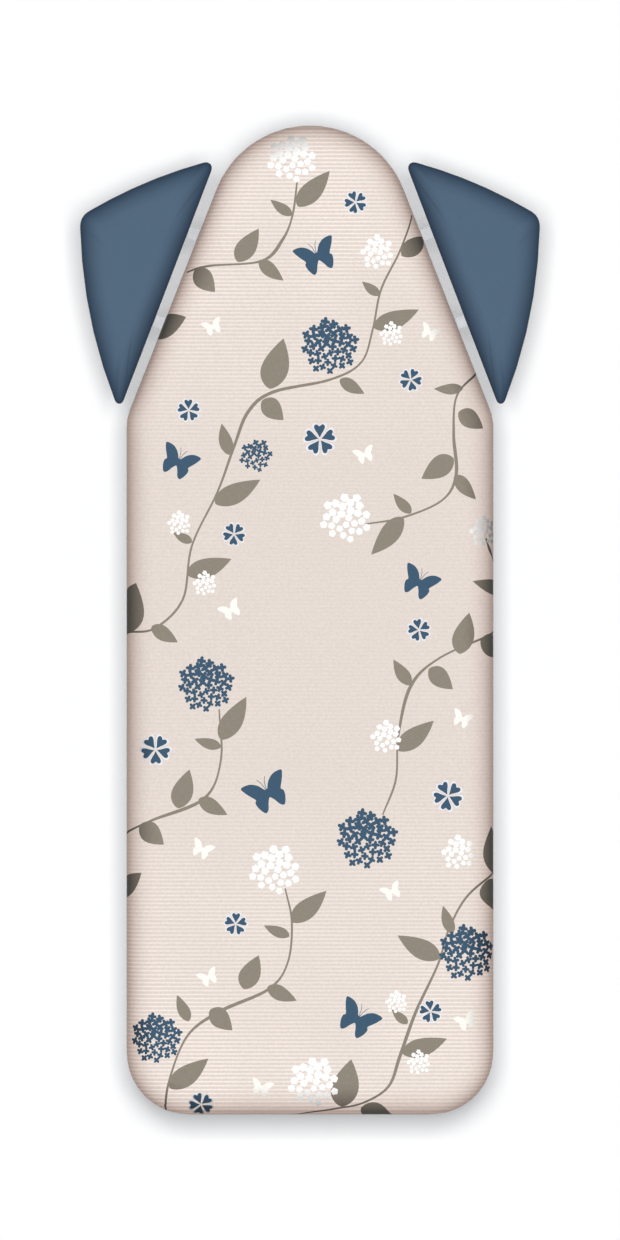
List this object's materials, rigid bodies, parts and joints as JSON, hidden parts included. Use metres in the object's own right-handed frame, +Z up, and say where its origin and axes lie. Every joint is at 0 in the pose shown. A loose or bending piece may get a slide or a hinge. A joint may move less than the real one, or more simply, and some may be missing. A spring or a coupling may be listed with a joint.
{
  "type": "folding ironing board with shoulder wings",
  "caption": "Full-size folding ironing board: tapered padded top on crossed scissor legs, with padded drop-down shoulder wings hinged along both sides of the nose.",
  "frame": {"origin": "on the floor, under the middle of the board's length and width", "axes": "+Z up; +Y along the board towards its rounded nose; +X to the right when looking along +Y"},
  "size_m": [0.558, 1.2, 0.9],
  "materials": {
    "leg_paint": "pale grey powder coat",
    "zinc": "bright zinc plate",
    "plastic": "matt moulded",
    "felt": "needled felt",
    "foam": "foam pad",
    "print_cloth": "cotton with a printed flower pattern",
    "slate_cloth": "plain cotton"
  },
  "bodies": {
    "top": {"top_rim": "leg_paint", "mesh_panel": "zinc", "felt_underlay": "felt", "foam_pad": "foam", "board_cover": "print_cloth", "rear_cross_strap": "zinc", "middle_cross_strap": "zinc", "rack_spring": "zinc", "shaft_bracket_inner": "zinc", "shaft_bracket_outer": "zinc", "guide_plate_left": "zinc", "guide_plate_right": "zinc", "rear_hinge_bracket_left": "zinc", "rear_hinge_bracket_right": "zinc", "rear_hinge_bolt_left": "zinc", "rear_hinge_bolt_right": "zinc", "wing_bracket_rear_left": "zinc", "wing_bracket_front_left": "zinc", "wing_pin_rear_left": "zinc", "wing_pin_front_left": "zinc", "wing_bracket_rear_right": "zinc", "wing_bracket_front_right": "zinc", "wing_pin_rear_right": "zinc", "wing_pin_front_right": "zinc"},
    "outer_leg": {"outer_leg_tube_left": "leg_paint", "outer_leg_tube_right": "leg_paint", "front_foot_bar": "leg_paint", "front_foot_cap_left": "plastic", "front_foot_cap_right": "plastic", "cross_bolt_left": "zinc", "cross_bolt_right": "zinc", "cross_spacer_left": "plastic", "cross_spacer_right": "plastic"},
    "inner_leg": {"inner_leg_tube_left": "leg_paint", "inner_leg_tube_right": "leg_paint", "inner_leg_brace": "leg_paint", "sliding_bar": "zinc", "slider_bush_left": "plastic", "slider_bush_right": "plastic", "rear_foot_bar": "leg_paint", "rear_foot_cap_left": "plastic", "rear_foot_cap_right": "plastic"},
    "release": {"height_rack": "zinc", "release_shaft": "zinc", "release_lever_arm": "zinc", "release_lever_grip": "plastic"},
    "wing_left": {"wing_panel_left": "zinc", "wing_pad_left": "foam", "wing_cover_left": "slate_cloth", "wing_arm_rear_left": "leg_paint", "wing_arm_front_left": "leg_paint"},
    "wing_right": {"wing_panel_right": "zinc", "wing_pad_right": "foam", "wing_cover_right": "slate_cloth", "wing_arm_rear_right": "leg_paint", "wing_arm_front_right": "leg_paint"}
  },
  "joints": [
    {"name": "leg_fold", "type": "hinge", "parent": "top", "child": "outer_leg", "pos_m": [0, -0.49, 0.844], "axis": [1, 0, 0], "range_deg": [0, 49.5]},
    {"name": "leg_cross", "type": "hinge", "parent": "outer_leg", "child": "inner_leg", "pos_m": [0, -0.17009, 0.45974], "axis": [1, 0, 0], "range_deg": [-99, 0]},
    {"name": "height_release", "type": "hinge", "parent": "top", "child": "release", "pos_m": [0, 0.068, 0.866], "axis": [1, 0, 0], "range_deg": [-4, 0], "stiffness_Nm_per_rad": 20, "springref_deg": 6.88},
    {"name": "wing_left_fold", "type": "hinge", "parent": "top", "child": "wing_left", "pos_m": [-0.1635, 0.38167, 0.85], "axis": [-0.3654, -0.9309, 0], "range_deg": [0, 90]},
    {"name": "wing_right_fold", "type": "hinge", "parent": "top", "child": "wing_right", "pos_m": [0.1635, 0.38167, 0.85], "axis": [-0.3654, 0.9309, 0], "range_deg": [0, 90]}
  ],
  "couplings": [
    {"joint": "leg_cross", "follows": "leg_fold", "ratio": -2}
  ]
}
